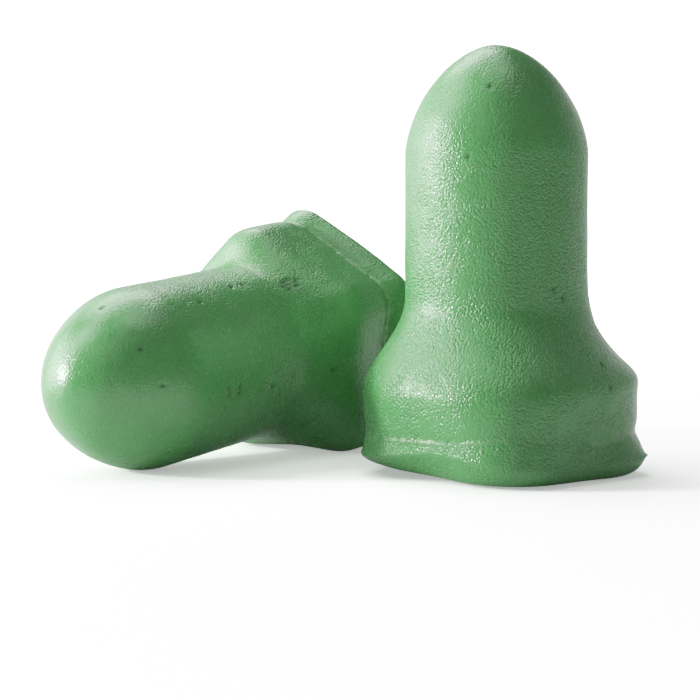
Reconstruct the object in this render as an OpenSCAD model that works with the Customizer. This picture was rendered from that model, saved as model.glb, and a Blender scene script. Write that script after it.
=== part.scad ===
// A pair of foam ear plugs: one stands on its base and one lies on its nose and flange.
// The origin is the middle of the standing plug's base, on the table, with +Z up through its nose.

/* [Stem and nose] */
// Length of a plug from its base to the tip of its nose
plug_length = 25.5; // [22:0.1:28]
// Diameter of the straight stem
stem_d = 11; // [9:0.1:13]
// Length of the rounded nose
nose_length = 6.5; // [6:0.1:9]
// How full the nose is along its length, where 2 is an ellipse
nose_fullness = 1.68; // [1.5:0.02:2.6]
// How full the nose is across its width, where 2 is an ellipse
nose_bluntness = 1.84; // [1.5:0.02:2.6]

/* [Flange] */
// Number of corners round the grip flange
corner_count = 5; // [3:1:6]
// Reach of a corner from the plug's axis
corner_reach = 8.4; // [7.8:0.1:9.6]
// How much further the longest corner reaches
long_corner = 1.1; // [0:0.1:1.3]
// Radius of a corner, seen along the plug's axis
corner_rounding = 2.4; // [1:0.1:3]
// Height at which the flare leaves the stem
flare_height = 10; // [9:0.1:11]
// Height of the shoulder, where the flare reaches its full width
shoulder_height = 4.9; // [4:0.1:5.5]
// Height of the mould crease round the flange
crease_height = 2.4; // [1.9:0.1:3]
// Depth of the mould crease
crease_depth = 0.3; // [0.1:0.05:0.5]
// Rounding of the edge round the base
base_rounding = 1.2; // [0.6:0.1:1.6]
// How far the lip below the crease stands out past the shoulder
lip_overhang = 0.25; // [0:0.05:0.4]

/* [Placing of the pair] */
// Turn of the standing plug about its axis
standing_turn = -1; // [-30:1:30]
// Bearing of the lying plug, turned from lying along -X
lying_turn = 54; // [40:1:60]
// Roll of the lying plug about its own axis, which brings its longest corner down to the table
lying_roll = -139; // [-150:1:-130]
// Place of the lying plug's base centre to the left of the standing plug
lying_left = 10.6; // [10:0.1:14]
// Place of the lying plug's base centre behind the standing plug
lying_behind = 15.5; // [15:0.1:20]

/* [Hidden] */

foam_green = [0.30, 0.62, 0.34];
stem_r = stem_d / 2;
nose_start = plug_length - nose_length;
nose_steps = 14;
corner_steps = 2;
// The higher, the closer the longest corner's extra reach stays to that corner
long_corner_power = 6;
side_steps = 8;
// The flange ends a hair wider than the stem, so that the round stem leaves it through a flat ring
ring_step = 0.06;
// The stem starts this far down inside the flange
stem_overlap = 3;
rounding_steps = 4;
flare_steps = 10;
crease_half_width = 0.45;
tilt_steps = 24;
steepest_tilt = 20;

// Outline of the nose as [radius, height] from where it leaves the stem to its tip
nose_outline = [
    for (i = [0 : nose_steps])
        let (rise = sin(90 * i / nose_steps))
        [stem_r * pow(1 - pow(rise, nose_fullness), 1 / nose_bluntness), nose_start + nose_length * rise]
];

// The flange is a polygon whose straight sides run into round corners
half_side = 180 / corner_count;
corner_centre = corner_reach - corner_rounding;
side_reach = corner_centre * cos(half_side) + corner_rounding;
// Bearing from a corner at which its arc ends and the side begins
arc_end = atan2(corner_rounding * sin(half_side), corner_centre + corner_rounding * cos(half_side));

// Bearings of the flange's points, closer together round a corner than along a side
corner_bearings = concat(
    [for (i = [-corner_steps : corner_steps]) arc_end * i / corner_steps],
    [for (i = [1 : side_steps - 1]) arc_end + 2 * (half_side - arc_end) * i / side_steps]
);
bearings = [for (c = [0 : corner_count - 1]) for (b = corner_bearings) 2 * half_side * c + b];
facets = len(bearings);

// Reach of the flange's shoulder at an angle from its nearest corner
function corner_to_side(a) =
    a < arc_end
    ? corner_centre * cos(a) + sqrt(pow(corner_rounding, 2) - pow(corner_centre * sin(a), 2))
    : side_reach / cos(half_side - a);

// What the longest corner adds at bearing a: most at bearing 0, and nothing from a quarter turn on
function long_corner_share(a) = long_corner * pow(max(cos(a), 0), long_corner_power);

// Reach of the flange's shoulder at bearing a
function flange_reach(a) =
    corner_to_side(abs((a + 3 * half_side) % (2 * half_side) - half_side)) + long_corner_share(a);

// Share of the flange's width that is left at height z on the flare: a half cosine wave
function flare_share(z) = (1 + cos(180 * (z - shoulder_height) / (flare_height - shoulder_height))) / 2;

// The flange's rings from the base up, each as [height, share of the flange's width, amount added]
rings = concat(
    [for (i = [0 : rounding_steps])
        let (turn = 90 * i / rounding_steps)
        [base_rounding * (1 - cos(turn)), 1, lip_overhang - base_rounding * (1 - sin(turn))]],
    [[crease_height - crease_half_width, 1, lip_overhang / 2],
        [crease_height, 1, -crease_depth],
        [crease_height + crease_half_width, 1, 0]],
    [for (i = [0 : flare_steps])
        let (z = shoulder_height + (flare_height - shoulder_height) * i / flare_steps)
        [z, flare_share(z), i == flare_steps ? ring_step : 0]]
);

// A point of the flange on ring r at bearing a
function flange_point(r, a) =
    let (reach = stem_r + (flange_reach(a) - stem_r) * r[1] + r[2])
    [reach * cos(a), reach * sin(a), r[0]];

flange_points = [for (r = rings) for (a = bearings) flange_point(r, a)];

flange_faces = concat(
    [[for (i = [0 : facets - 1]) i]],
    [for (k = [0 : len(rings) - 2]) for (i = [0 : facets - 1])
        [k * facets + i, (k + 1) * facets + i, k * facets + (i + 1) % facets]],
    [for (k = [0 : len(rings) - 2]) for (i = [0 : facets - 1])
        [(k + 1) * facets + i, (k + 1) * facets + (i + 1) % facets, k * facets + (i + 1) % facets]],
    [[for (i = [facets - 1 : -1 : 0]) (len(rings) - 1) * facets + i]]
);

// How far below the base's centre a point of the lying plug is, at height s up the plug and side reach r
function drop(s, r, tilt) = s * sin(tilt) + r * cos(tilt);

nose_low = function (tilt) max([for (p = nose_outline) drop(p[1], p[0], tilt)]);
flange_low = function (tilt) max([
    for (p = flange_points)
        drop(p[2], -(p[0] * cos(lying_roll) - p[1] * sin(lying_roll)), tilt)
]);

// The tilt at which the nose and the flange touch the table together, found by halving
function resting_tilt(low, high, steps) =
    let (mid = (low + high) / 2)
    steps == 0 ? mid
    : flange_low(mid) > nose_low(mid) ? resting_tilt(mid, high, steps - 1)
    : resting_tilt(low, mid, steps - 1);

lying_tilt = resting_tilt(0, steepest_tilt, tilt_steps);
lying_lift = flange_low(lying_tilt);

module flange() {
    polyhedron(points = flange_points, faces = flange_faces, convexity = 4);
}

module stem() {
    translate([0, 0, flare_height - stem_overlap])
        cylinder(r = stem_r, h = nose_start - flare_height + stem_overlap, $fn = 96);
}

module nose() {
    rotate_extrude($fn = 96)
        polygon(concat([[0, nose_start]], nose_outline));
}

module ear_plug() {
    union() {
        flange();
        stem();
        nose();
    }
}

module standing_plug() {
    color(foam_green)
        rotate([0, 0, standing_turn - 90])
            ear_plug();
}

module lying_plug() {
    color(foam_green)
        translate([-lying_left, lying_behind, lying_lift])
            rotate([0, 0, lying_turn])
                rotate([0, -90 - lying_tilt, 0])
                    rotate([0, 0, lying_roll])
                        ear_plug();
}

standing_plug();
lying_plug();
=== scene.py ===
import math

import bpy
import numpy as np
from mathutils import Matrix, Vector, noise


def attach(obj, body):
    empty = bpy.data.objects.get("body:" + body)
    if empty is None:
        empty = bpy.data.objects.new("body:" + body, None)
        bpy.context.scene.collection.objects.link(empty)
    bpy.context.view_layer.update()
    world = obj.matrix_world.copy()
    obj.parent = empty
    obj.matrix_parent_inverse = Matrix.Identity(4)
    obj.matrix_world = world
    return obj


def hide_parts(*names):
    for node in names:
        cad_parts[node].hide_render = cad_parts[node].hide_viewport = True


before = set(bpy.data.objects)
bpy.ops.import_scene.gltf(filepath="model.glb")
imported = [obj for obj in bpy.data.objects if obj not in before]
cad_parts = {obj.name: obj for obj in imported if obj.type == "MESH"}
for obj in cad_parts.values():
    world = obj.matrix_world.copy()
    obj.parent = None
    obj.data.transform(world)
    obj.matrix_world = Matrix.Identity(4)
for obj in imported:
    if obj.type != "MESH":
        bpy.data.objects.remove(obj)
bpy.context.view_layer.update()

MM = 0.001
TURN = 2 * math.pi

# Size and shape of a plug in mm, close to part.scad's
STEM_R = 5.5
PLUG_LENGTH = 25.62
NOSE_LENGTH = 6.54
NOSE_FULLNESS = 1.64
NOSE_BLUNTNESS = 1.84
CORNERS = 5
SHOULDER = 4.9
# How softly the flare runs over the shoulder into the flange's side
SOFT_SHOULDER = 0.015
# The whole flare is below this height
FLARE_TOP = 12.6
# The middle of the base is hollowed up by this much
BASE_HOLLOW = 0.12
# The crease's ridge of flash is in a band from this far below it to this far above it
CREASE_BELOW, CREASE_ABOVE = 0.25, 0.35
# How far up and down the lip's tag, the groove and the ridge of flash fade out
HOOK_SPREAD, GROOVE_SPREAD, RIDGE_SPREAD = 0.16, 0.5, 0.09
PORE_DEPTH = 0.09

# Points round a plug
COLUMNS = 360

DEEP_GREEN = (0.086, 0.300, 0.090, 1)
MID_GREEN = (0.100, 0.345, 0.105, 1)
PALE_GREEN = (0.130, 0.385, 0.132, 1)
# Painted shade for the insides of pits and pinholes
PAINTED_PIT_SHADE = (0.018, 0.07, 0.022, 1)
# Pale green painted along the ridge of flash as its highlight
FLASH_HIGHLIGHT_GREEN = (0.50, 0.68, 0.46, 1)


def smooth(t):
    t = np.clip(t, 0, 1)
    return t * t * (3 - 2 * t)


def near(bearing, centre, width):
    """1 at bearing centre, falling off round the axis over width. Degrees."""
    away = (np.degrees(bearing) - centre + 180) % 360 - 180
    return np.exp(-((away / width) ** 2))


def polygon_reach(bearing, reach, rounding):
    """Reach of a regular polygon with round corners, one of them at bearing 0."""
    half = math.pi / CORNERS
    centre = reach - rounding
    side = centre * math.cos(half) + rounding
    arc_end = np.arctan2(rounding * math.sin(half), centre + rounding * math.cos(half))
    a = np.abs((bearing + half) % (2 * half) - half)
    arc = centre * np.cos(a) + np.sqrt(np.maximum(rounding**2 - (centre * np.sin(a)) ** 2, 0))
    return np.where(a < arc_end, arc, side / np.cos(half - a))


class Form:
    """One plug's own shape, as functions of the bearing b round its axis: no two are quite alike."""

    # Lengths are in mm. Reach of the flange's corners, and their rounding at the base and at the shoulder
    corner_reach = 8.4
    corner_rounding = 2.2
    shoulder_rounding = 4.0
    # Height of the crease, overhang of the lip, height where the lip is widest, how far the base is set in
    # from the lip, and depth of the groove over the crease
    crease_all, lip_all, low_all, inset_all, groove_all = 2.3, 0.3, 0.95, 1.25, 0.2
    # Height at which the flare has run out into the stem
    top_all = 10.1
    seed = 0.0
    # Open pores in the skin, each as its bearing in degrees, its height and its radius in mm
    pores = ()

    def reach(self, b, z):
        """The flange's polygon is crisp at the base, and rounder at the shoulder, where it meets the stem."""
        higher = smooth((z - 1) / 4.5)
        rounding = self.corner_rounding + (self.shoulder_rounding - self.corner_rounding) * higher
        return polygon_reach(b, self.corner_reach, rounding)

    def flare_top(self, b):
        return self.top_all + 0 * b

    def fullness(self, b):
        """How the flare falls from the shoulder: over 1 it stays wide for longer and then drops faster."""
        return 1 + 0 * b

    def crease(self, b):
        return self.crease_all + 0 * b

    def lip(self, b):
        return self.lip_all + 0 * b

    def lip_low(self, b):
        return self.low_all + 0 * b

    def inset(self, b):
        return self.inset_all + 0 * b

    def bevel(self, b):
        """How far the lip's underside is a straight bevel, not round: 0 to 1."""
        return 0 * b

    def groove(self, b):
        return self.groove_all + 0 * b

    def flash(self, b):
        """How far the thin ridge of flash along the crease stands out."""
        return 0.06 + 0 * b

    def hook(self, b):
        """A sharp tag of flash that stands out at the widest part of the lip."""
        return 0 * b

    def swell(self, b, z):
        """Anything else by which this plug is wider at height z."""
        return 0 * b * z

    def base_rise(self, b):
        """How far the base's edge is off the table."""
        return 0 * b

    def noise_round(self, b, size, seed):
        """Noise along a ring about as wide as the flange."""
        ring = np.stack([8 * np.cos(b), 8 * np.sin(b), 0 * b], -1)
        return noise_at(ring, size, self.seed + seed)

    def ragged(self, b):
        """How the flash along the crease comes and goes round the plug, from 0 to about 1."""
        patchy = 0.6 * self.noise_round(b, 1.6, 0) + 0.7 * self.noise_round(b, 0.45, 5)
        return np.clip(0.35 + 1.2 * patchy, 0, 1.3)

    def grain(self, z):
        """How strong the skin's grain is at height z: it is finest on the nose."""
        return 1 - 0.5 * smooth((z - 16) / 6)

    def wander(self, b):
        """How the crease wanders up and down round the plug."""
        return 0.10 * self.noise_round(b, 1.9, 11) + 0.05 * self.noise_round(b, 0.6, 17)


class Standing(Form):
    """Its parts are named as the camera sees them: left, face (front left), front and right."""

    corner_reach = 8.35
    corner_rounding = 4.5
    shoulder_rounding = 7.2
    seed = 3.1
    pores = (
        (-8, 22.9, 0.16), (-20, 18.8, 0.13), (35, 11.1, 0.13), (42, 10.6, 0.13),
        (50, 6.7, 0.14), (48, 5.5, 0.16),
    )
    front = 0.82
    top_left, top_right = 10.6, 10.36
    full_left, full_right = 0.88, 0.9
    crease_left, crease_front, crease_right = -0.1, 0.5, 0.1
    lip_all, lip_left, lip_face, lip_front, lip_right = 0.19, 0.18, -0.17, 0.2, 0.28
    low_all, low_left, low_face, low_right = 0.95, -0.09, 0.80, 0.19
    inset_all, inset_left, inset_face, inset_right = 1.24, 0.05, 0.05, 0.37
    groove_all, groove_left, groove_right = 0.06, -0.05, 0.07
    shoulder_right, foot_right = 0.35, 0.15
    rise_left, rise_face, rise_right = 0.54, 0.13, -0.12

    def reach(self, b, z):
        return super().reach(b, z) + self.front * np.maximum(np.cos(b), 0) ** 4

    def flare_top(self, b):
        return (self.top_all + (self.top_left - self.top_all) * near(b, -80, 50)
                + (self.top_right - self.top_all) * near(b, 80, 50))

    def fullness(self, b):
        return 1 + (self.full_left - 1) * near(b, -80, 50) + (self.full_right - 1) * near(b, 80, 50)

    def crease(self, b):
        return (self.crease_all + self.crease_front * near(b, 5, 22) + self.crease_left * near(b, -75, 30)
                - 0.15 * near(b, 40, 15) + self.crease_right * near(b, 72, 20))

    def parts(self, b, everywhere, left, face, right, face_at=(-30, 26)):
        return everywhere + left * near(b, -76, 16) + face * near(b, *face_at) + right * near(b, 74, 18)

    def lip(self, b):
        return self.parts(b, self.lip_all, self.lip_left, self.lip_face, self.lip_right)

    def lip_low(self, b):
        return self.parts(b, self.low_all, self.low_left, self.low_face, self.low_right)

    def inset(self, b):
        return self.parts(b, self.inset_all, self.inset_left, self.inset_face, self.inset_right, (-34, 24))

    def bevel(self, b):
        return 0.75 * near(b, -40, 34)

    def groove(self, b):
        return self.groove_all + self.groove_left * near(b, -72, 22) + self.groove_right * near(b, 74, 16)

    def flash(self, b):
        return 0.02 + 0.17 * near(b, -40, 22)

    def hook(self, b):
        return 0.2 * near(b, 76, 9)

    def swell(self, b, z):
        on_shoulder = self.shoulder_right * np.exp(-(((z - 5.9) / 0.8) ** 2))
        at_foot = self.foot_right * np.exp(-(((z - 9.8) / 0.9) ** 2))
        lean = self.lip_front * near(b, 2, 34) * smooth(1 - z / 6.5)
        return near(b, 78, 35) * (on_shoulder + at_foot) + lean

    def base_rise(self, b):
        return (self.rise_left * near(b, -80, 30) + self.rise_face * near(b, -36, 24)
                + self.rise_right * near(b, 80, 40))


class Lying(Form):
    """Its far side is the lobe behind the stem, and its low side is on the table."""

    corner_reach = 7.7
    corner_rounding = 1.9
    shoulder_rounding = 2.4
    lip_all, groove_all = 0.55, 0.22
    seed = 41.7
    # The last seven are a ring of six round a finer one
    pores = (
        (-8, 22, 0.15), (-60, 22.5, 0.13), (-90, 22, 0.13), (-42, 16.6, 0.13), (-35, 12.9, 0.15),
        (-35, 11.9, 0.15), (-102, 17.1, 0.14), (-102, 16.1, 0.14), (-106, 17, 0.14), (-106, 16.1, 0.14),
        (-108, 12.8, 0.15), (-105, 7.5, 0.13), (-43, 8.8, 0.15), (-46, 9.0, 0.15), (-49, 8.7, 0.15),
        (-49, 8.2, 0.15), (-46, 8.0, 0.15), (-43, 8.3, 0.15), (-46, 8.5, 0.12),
    )
    long_corner = 1.15
    top_far, full_far, top_low = 8.1, 4.4, 9.6
    stem_swell = 0.12

    def far(self, b):
        return near(b, 30, 45)

    def reach(self, b, z):
        return super().reach(b, z) + self.long_corner * near(b, -137, 22)

    def flare_top(self, b):
        return (self.top_all + (self.top_far - self.top_all) * self.far(b)
                + (self.top_low - self.top_all) * near(b, -158, 50))

    def fullness(self, b):
        return 1 + (self.full_far - 1) * self.far(b)

    def swell(self, b, z):
        return self.stem_swell + 0 * b * z

    def grain(self, z):
        return 0.6 * super().grain(z)


def noise_at(points, size, seed):
    """Smooth noise from -1 to 1, with bumps about size mm across."""
    flat = points.reshape(-1, 3) / size + seed
    return np.array([noise.noise(p) for p in flat.tolist()]).reshape(points.shape[:-1])


def plug_rows(form, b):
    """Heights and reaches of the plug's surface, one row per station from its base to its nose."""
    rows = []
    low = form.lip_low(b)
    inset = form.inset(b)
    base_edge = form.reach(b, low) + form.lip(b) + form.swell(b, low) - inset
    crease = form.crease(b) + form.wander(b)
    flash = form.flash(b) * form.ragged(b)
    flare_top = form.flare_top(b)
    nose_start = PLUG_LENGTH - NOSE_LENGTH
    for share in np.linspace(0, 1, 27)[1:-1]:
        rows.append((BASE_HOLLOW * (1 - share**2) * np.ones_like(b), base_edge * share))
    for turn in np.linspace(0, math.pi / 2, 13):
        z = low * (1 - math.cos(turn))
        out = math.sin(turn) + form.bevel(b) * (1 - math.cos(turn) - math.sin(turn))
        rows.append((z, base_edge + inset * out + form.hook(b) * np.exp(-(low - z) / HOOK_SPREAD)))

    def side(z):
        along = np.clip((z - SHOULDER) / (flare_top - SHOULDER), -2, 1)
        along = (along + np.sqrt(along**2 + SOFT_SHOULDER)) / (1 + math.sqrt(1 + SOFT_SHOULDER))
        share = (1 + np.cos(math.pi * along ** form.fullness(b))) / 2
        r = STEM_R + (form.reach(b, z) - STEM_R) * share
        r = r + form.lip(b) * np.clip((crease - z) / (crease - low), 0, 1)
        r = r - form.groove(b) * np.exp(-(((z - crease - 0.1) / GROOVE_SPREAD) ** 2))
        r = r + flash * np.exp(-(((z - crease) / RIDGE_SPREAD) ** 2))
        r = r + form.hook(b) * np.exp(-np.abs(z - low) / HOOK_SPREAD)
        return r + form.swell(b, z)

    crease_low = crease - CREASE_BELOW
    crease_high = crease + CREASE_ABOVE
    for t in np.linspace(0, 1, 9)[1:]:
        z = low + (crease_low - low) * t
        rows.append((z, side(z)))
    for t in np.linspace(0, 1, 13)[1:]:
        z = crease_low + (crease_high - crease_low) * t
        rows.append((z, side(z)))
    for t in np.linspace(0, 1, 19)[1:]:
        z = crease_high + (SHOULDER - crease_high) * t
        rows.append((z, side(z)))
    for z in np.linspace(SHOULDER, FLARE_TOP, 43)[1:]:
        z = z * np.ones_like(b)
        rows.append((z, side(z)))
    for z in np.linspace(FLARE_TOP, nose_start, 57)[1:]:
        rows.append((z * np.ones_like(b), STEM_R + form.swell(b, z)))
    for turn in np.linspace(0, math.pi / 2, 71)[1:-1]:
        rise = math.sin(turn)
        z = nose_start + NOSE_LENGTH * rise
        share = (1 - rise**NOSE_FULLNESS) ** (1 / NOSE_BLUNTNESS)
        rows.append((z * np.ones_like(b), (STEM_R + form.swell(b, z)) * share))
    z, r = np.array([row[0] for row in rows]), np.array([row[1] for row in rows])
    return z + form.base_rise(b) * np.clip(1 - z / 2.5, 0, 1) ** 2, r


def grid_normals(points):
    """Unit normals of a grid of points, out of the plug."""
    along = np.gradient(points, axis=0)
    around = (np.roll(points, -1, axis=1) - np.roll(points, 1, axis=1)) / 2
    n = np.cross(around, along)
    return n / np.maximum(np.linalg.norm(n, axis=-1, keepdims=True), 1e-9)


def plug_surface(form):
    """The plug's points as rows from base to nose by columns round it, and what its skin is like at each."""
    b = np.arange(COLUMNS) * TURN / COLUMNS
    z, r = plug_rows(form, b)
    points = np.stack([r * np.cos(b), r * np.sin(b), z], -1)
    n = grid_normals(points)
    pore = np.zeros(z.shape)
    for bearing, height, radius in form.pores:
        column = int(round(bearing / 360 * COLUMNS)) % COLUMNS
        row = np.abs(z[:, column] - height).argmin()
        away = np.linalg.norm(points - points[row, column], axis=-1)
        pore = np.maximum(pore, np.exp(-((away / radius) ** 2)))
    off_base = smooth(z / 0.8)
    lumps = 0.05 * noise_at(points, 5.0, form.seed) + 0.02 * noise_at(points, 1.6, form.seed + 7)
    grain = 0.006 * noise_at(points, 0.4, form.seed + 13)
    rise = (lumps + grain) * off_base - PORE_DEPTH * pore
    # Where the ridge of flash runs: the mask for the painted highlight along it
    highlight_along_crease = np.exp(-(((z - form.crease(b) - form.wander(b)) / 0.13) ** 2)) * (r > STEM_R + 1)
    skin = {
        "pore": pore,
        "flash": highlight_along_crease * form.ragged(b) * np.minimum(form.flash(b) / 0.12, 1),
        "grain": form.grain(z),
    }
    return points + n * rise[..., None], skin


def make_mesh(name, points, skin):
    """A closed mesh from the grid of points in mm, with the skin's fields as its point attributes."""
    rows, columns = points.shape[:2]
    base = points[0].mean(0)
    tip = points[-1].mean(0)
    verts = np.concatenate([points.reshape(-1, 3), [base], [tip]])
    i = np.arange(rows - 1)[:, None] * columns
    j = np.arange(columns)
    k = (j + 1) % columns
    quads = np.stack([i + j, i + k, i + columns + k, i + columns + j], -1).reshape(-1, 4)
    foot, top = rows * columns, rows * columns + 1
    last = (rows - 1) * columns
    faces = quads.tolist()
    faces += [[foot, int(q), int(p)] for p, q in zip(j, k)]
    faces += [[last + int(p), last + int(q), top] for p, q in zip(j, k)]
    mesh = bpy.data.meshes.new(name)
    mesh.from_pydata((verts * MM).tolist(), [], faces)
    for field, values in skin.items():
        flat = values.ravel()
        layer = mesh.attributes.new(field, "FLOAT", "POINT")
        layer.data.foreach_set("value", np.concatenate([flat, [flat[0], flat[-1]]]).astype(np.float32))
    mesh.shade_smooth()
    mesh.update()
    ob = bpy.data.objects.new(name, mesh)
    bpy.context.scene.collection.objects.link(ob)
    return ob


def turn_z(points, degrees):
    a = math.radians(degrees)
    c, s = math.cos(a), math.sin(a)
    return points @ np.array([[c, -s, 0], [s, c, 0], [0, 0, 1]]).T


def turn_y(points, degrees):
    a = math.radians(degrees)
    c, s = math.cos(a), math.sin(a)
    return points @ np.array([[c, 0, s], [0, 1, 0], [-s, 0, c]]).T


def place_standing(points):
    """Turns the long corner to the front. The base is a little to the right of the stem."""
    points = turn_z(points, -91)
    lean = smooth(1 - points[..., 2] / FLARE_TOP)
    points[..., 0] += 0.33 * lean
    points[..., 2] -= points[..., 2].min()
    return points


def place_lying(points):
    """Lays the plug down at the tilt where its nose and its flange are on the table together."""
    laid = turn_y(turn_z(points, 4.3), -90)
    up = points[..., 2]
    low, high = 0.0, 20.0
    for _ in range(30):
        tilt = (low + high) / 2
        z = turn_y(laid, -tilt)[..., 2]
        if z[up > 0.6 * PLUG_LENGTH].min() > z[up < 0.4 * PLUG_LENGTH].min():
            low = tilt
        else:
            high = tilt
    laid = turn_z(turn_y(laid, -tilt), 53.9)
    laid[..., 2] -= laid[..., 2].min()
    return laid + np.array([-10.6, 15.4, 0])


def foam_material():
    mat = bpy.data.materials.new("plug_foam")
    mat.use_nodes = True
    nodes, links = mat.node_tree.nodes, mat.node_tree.links
    nodes.clear()
    out = nodes.new("ShaderNodeOutputMaterial")
    skin = nodes.new("ShaderNodeBsdfPrincipled")
    links.new(skin.outputs[0], out.inputs[0])
    place = nodes.new("ShaderNodeTexCoord")
    in_mm = nodes.new("ShaderNodeVectorMath")
    in_mm.operation = "SCALE"
    in_mm.inputs["Scale"].default_value = 1 / MM
    links.new(place.outputs["Object"], in_mm.inputs[0])

    def noise_node(size, detail, rough=0.5):
        n = nodes.new("ShaderNodeTexNoise")
        n.inputs["Scale"].default_value = 1 / size
        n.inputs["Detail"].default_value = detail
        n.inputs["Roughness"].default_value = rough
        links.new(in_mm.outputs[0], n.inputs["Vector"])
        return n.outputs["Fac"]

    def math_node(operation, a, b):
        n = nodes.new("ShaderNodeMath")
        n.operation = operation
        for socket, value in zip(n.inputs, (a, b)):
            if isinstance(value, (int, float)):
                socket.default_value = value
            else:
                links.new(value, socket)
        return n.outputs[0]

    def spread(value, low, high, to_low, to_high):
        n = nodes.new("ShaderNodeMapRange")
        for name, number in (("From Min", low), ("From Max", high), ("To Min", to_low), ("To Max", to_high)):
            n.inputs[name].default_value = number
        links.new(value, n.inputs["Value"])
        return n.outputs["Result"]

    def field(name):
        n = nodes.new("ShaderNodeAttribute")
        n.attribute_name = name
        return n.outputs["Fac"]

    def tint(share, under, over):
        n = nodes.new("ShaderNodeMix")
        n.data_type = "RGBA"
        links.new(share, n.inputs["Factor"])
        for socket, colour in ((n.inputs["A"], under), (n.inputs["B"], over)):
            if isinstance(colour, tuple):
                socket.default_value = colour
            else:
                links.new(colour, socket)
        return n.outputs["Result"]

    # Colour: soft blotches and a fine speckle, painted shade in the pores and pinholes, and a painted
    # highlight along the ridge of flash
    blotches = spread(noise_node(2.2, 3, 0.6), 0.3, 0.7, 0, 1)
    speckle = spread(noise_node(0.16, 2), 0.35, 0.75, 0, 0.5)
    colour = tint(blotches, DEEP_GREEN, MID_GREEN)
    colour = tint(speckle, colour, PALE_GREEN)
    # A few sparse pinholes in the skin, pressed in by the relief below; their darkness is painted shade
    pinhole_cells = nodes.new("ShaderNodeTexVoronoi")
    pinhole_cells.inputs["Scale"].default_value = 1 / 1.5
    links.new(in_mm.outputs[0], pinhole_cells.inputs["Vector"])
    chosen = nodes.new("ShaderNodeSeparateColor")
    links.new(pinhole_cells.outputs["Color"], chosen.inputs[0])
    some = math_node("GREATER_THAN", chosen.outputs["Red"], 0.6)
    # Painted shade inside each pinhole, darkest at its centre
    pinhole_painted_shade = math_node("MULTIPLY", spread(pinhole_cells.outputs["Distance"], 0.03, 0.075, 0.55, 0), some)
    colour = tint(pinhole_painted_shade, colour, PAINTED_PIT_SHADE)
    # Painted shade in the open pores' dimpled pits
    colour = tint(math_node("MULTIPLY", field("pore"), 0.85), colour, PAINTED_PIT_SHADE)
    # Painted highlight: the ridge of flash is tinted pale, most on the lit left face
    colour = tint(math_node("MULTIPLY", field("flash"), 0.75), colour, FLASH_HIGHLIGHT_GREEN)
    links.new(colour, skin.inputs["Base Color"])

    # Relief: domed pimples and a fine grain, both weaker on the nose, and the sparse pinholes pressed in
    strength = math_node("MULTIPLY", field("grain"), spread(noise_node(1.6, 2), 0.35, 0.65, 0.6, 1.3))
    normal = None
    pimples = nodes.new("ShaderNodeTexVoronoi")
    pimples.inputs["Scale"].default_value = 1 / 0.15
    links.new(in_mm.outputs[0], pimples.inputs["Vector"])
    domes = math_node("SUBTRACT", 1, math_node("POWER", pimples.outputs["Distance"], 2))
    for height, depth, follows_grain in (
        (domes, 0.042, True),
        (noise_node(0.08, 1, 0.6), 0.028, True),
        (math_node("SUBTRACT", 1, pinhole_painted_shade), 0.02, False),
    ):
        bump = nodes.new("ShaderNodeBump")
        bump.inputs["Strength"].default_value = 1
        bump.inputs["Distance"].default_value = depth * MM
        if follows_grain:
            links.new(strength, bump.inputs["Strength"])
        links.new(height, bump.inputs["Height"])
        if normal:
            links.new(normal, bump.inputs["Normal"])
        normal = bump.outputs[0]
    links.new(normal, skin.inputs["Normal"])
    links.new(spread(noise_node(0.8, 3, 0.6), 0.3, 0.7, 0.22, 0.29), skin.inputs["Roughness"])
    skin.inputs["Specular IOR Level"].default_value = 0.8
    return mat


foam = foam_material()
for node, body, form, place in (
    ("standing_plug", "standing_plug", Standing(), place_standing),
    ("lying_plug", "lying_plug", Lying(), place_lying),
):
    points, skin = plug_surface(form)
    piece = make_mesh(f"foam_{node}", place(points), skin)
    piece.data.materials.append(foam)
    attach(piece, body)
    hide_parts(node)


def area_light(name, place, target, size, power):
    data = bpy.data.lights.new(name, "AREA")
    data.shape = "RECTANGLE"
    data.size, data.size_y = size
    data.energy = power
    ob = bpy.data.objects.new(name, data)
    ob.location = Vector(place)
    ob.rotation_euler = (Vector(target) - Vector(place)).to_track_quat("-Z", "Y").to_euler()
    ob.visible_camera = False
    bpy.context.scene.collection.objects.link(ob)
    return ob


# Each softbox's name, azimuth and elevation in degrees, distance, width and height in metres, and watts
SOFTBOXES = (
    ("key_left", 168, 14, 0.30, 0.26, 0.18, 1.0),
    ("key_glint", 186, 15, 0.30, 0.025, 0.025, 0.75),
    ("rear_left", 130, 14, 0.30, 0.20, 0.20, 0.14),
    ("left_high", 176, 46, 0.30, 0.16, 0.16, 0.30),
    ("back_high", 110, 50, 0.30, 0.20, 0.16, 0.50),
    ("front_high", 240, 48, 0.30, 0.16, 0.16, 0.05),
    ("right_back", 40, 15, 0.30, 0.16, 0.16, 0.045),
    ("overhead", 0, 88, 0.30, 0.16, 0.16, 0.15),
    ("back_wall", 90, 10, 0.40, 0.50, 0.16, 0.24),
)
LIGHT_TARGET = Vector((-0.008, 0.004, 0.010))
for name, azimuth, elevation, distance, width, height, power in SOFTBOXES:
    a, e = math.radians(azimuth), math.radians(elevation)
    away = Vector((math.cos(a) * math.cos(e), math.sin(a) * math.cos(e), math.sin(e)))
    area_light(name, LIGHT_TARGET + distance * away, LIGHT_TARGET, (width, height), power)

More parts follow.
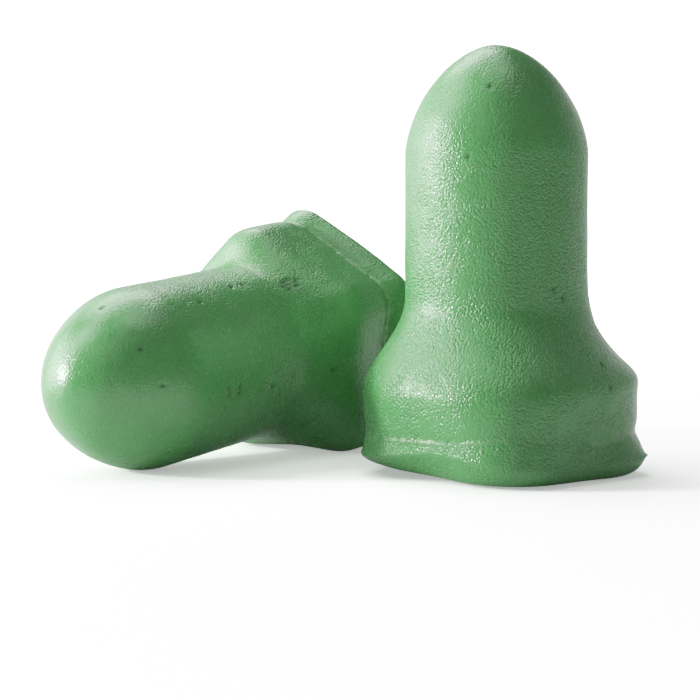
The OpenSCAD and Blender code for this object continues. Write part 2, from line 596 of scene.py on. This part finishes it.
# The studio round the pair is dim, and its backdrop is white
world = bpy.data.worlds.new("studio")
bpy.context.scene.world = world
world.use_nodes = True
world_nodes, world_links = world.node_tree.nodes, world.node_tree.links
sky = world_nodes["Background"]
sky.inputs["Strength"].default_value = 0.13
backdrop = world_nodes.new("ShaderNodeBackground")
seen = world_nodes.new("ShaderNodeLightPath")
choose = world_nodes.new("ShaderNodeMixShader")
for background in (sky, backdrop):
    background.inputs["Color"].default_value = (1, 1, 1, 1)
backdrop.inputs["Strength"].default_value = 3.2
world_links.new(seen.outputs["Is Camera Ray"], choose.inputs[0])
world_links.new(sky.outputs[0], choose.inputs[1])
world_links.new(backdrop.outputs[0], choose.inputs[2])
world_links.new(choose.outputs[0], world_nodes["World Output"].inputs[0])


def floor_material():
    """A white sweep, over-exposed by the camera: only the shadows next to the plugs stay below white. Its
    camera-only glow is dim near the plugs, a painted shade round the pair, and rises to white farther out.
    """
    mat = bpy.data.materials.new("floor")
    mat.use_nodes = True
    nodes, links = mat.node_tree.nodes, mat.node_tree.links
    nodes.clear()
    out = nodes.new("ShaderNodeOutputMaterial")
    sheet = nodes.new("ShaderNodeBsdfPrincipled")
    sheet.inputs["Base Color"].default_value = (0.8, 0.8, 0.8, 1)
    sheet.inputs["Roughness"].default_value = 1
    sheet.inputs["Emission Color"].default_value = (1, 1, 1, 1)
    sheet.inputs["Emission Strength"].default_value = 0.03
    exposed = nodes.new("ShaderNodeBsdfDiffuse")
    exposed.inputs["Color"].default_value = (1.8, 1.8, 1.8, 1)
    place = nodes.new("ShaderNodeTexCoord")
    away = nodes.new("ShaderNodeVectorMath")
    away.operation = "LENGTH"
    # Camera-only glow by distance: low near the plugs as painted shade round the pair, high farther out for a
    # white backdrop
    fade = nodes.new("ShaderNodeMapRange")
    fade.interpolation_type = "SMOOTHSTEP"
    fade.inputs["From Min"].default_value = 0.03
    fade.inputs["From Max"].default_value = 0.20
    fade.inputs["To Min"].default_value = 0.4
    fade.inputs["To Max"].default_value = 3.2
    links.new(place.outputs["Object"], away.inputs[0])
    links.new(away.outputs["Value"], fade.inputs["Value"])
    floor_glow_and_painted_shade = nodes.new("ShaderNodeEmission")
    links.new(fade.outputs["Result"], floor_glow_and_painted_shade.inputs["Strength"])
    both = nodes.new("ShaderNodeAddShader")
    seen = nodes.new("ShaderNodeLightPath")
    choose = nodes.new("ShaderNodeMixShader")
    links.new(exposed.outputs[0], both.inputs[0])
    links.new(floor_glow_and_painted_shade.outputs[0], both.inputs[1])
    links.new(seen.outputs["Is Camera Ray"], choose.inputs[0])
    links.new(sheet.outputs[0], choose.inputs[1])
    links.new(both.outputs[0], choose.inputs[2])
    links.new(choose.outputs[0], out.inputs[0])
    return mat


FLOOR_HALF = 3.0
floor_mesh = bpy.data.meshes.new("floor")
floor_corners = [(FLOOR_HALF * x, FLOOR_HALF * y, 0) for x, y in ((-1, -1), (1, -1), (1, 1), (-1, 1))]
floor_mesh.from_pydata(floor_corners, [], [(0, 1, 2, 3)])
floor_mesh.materials.append(floor_material())
floor = bpy.data.objects.new("floor", floor_mesh)
bpy.context.scene.collection.objects.link(floor)

# The camera's place, tilt and lens were fitted to both plugs' outlines
camera_data = bpy.data.cameras.new("camera")
camera_data.sensor_width = 36
camera_data.lens = 107.8
camera_data.shift_y = -0.0245
camera_data.clip_start = 0.005
camera = bpy.data.objects.new("camera", camera_data)
camera.location = (-0.00883, -0.12690, 0.01673)
camera.rotation_euler = (math.radians(90 - 3.76), 0, 0)
bpy.context.scene.collection.objects.link(camera)
bpy.context.scene.camera = camera

view = bpy.context.scene.view_settings
view.view_transform = "Standard"
view.look = "None"
# A film-like shoulder: bright greens pale towards white, and the over-exposed floor only just reaches it
WHITE = 3.0
view.use_curve_mapping = True
tone = view.curve_mapping
tone.white_level = (WHITE, WHITE, WHITE)
shoulder = tone.curves[3].points
for light, shown in ((0.20, 0.20), (0.35, 0.345), (0.5, 0.455), (0.85, 0.63), (1.3, 0.78), (2.0, 0.92)):
    shoulder.new(light / WHITE, shown)
tone.update()
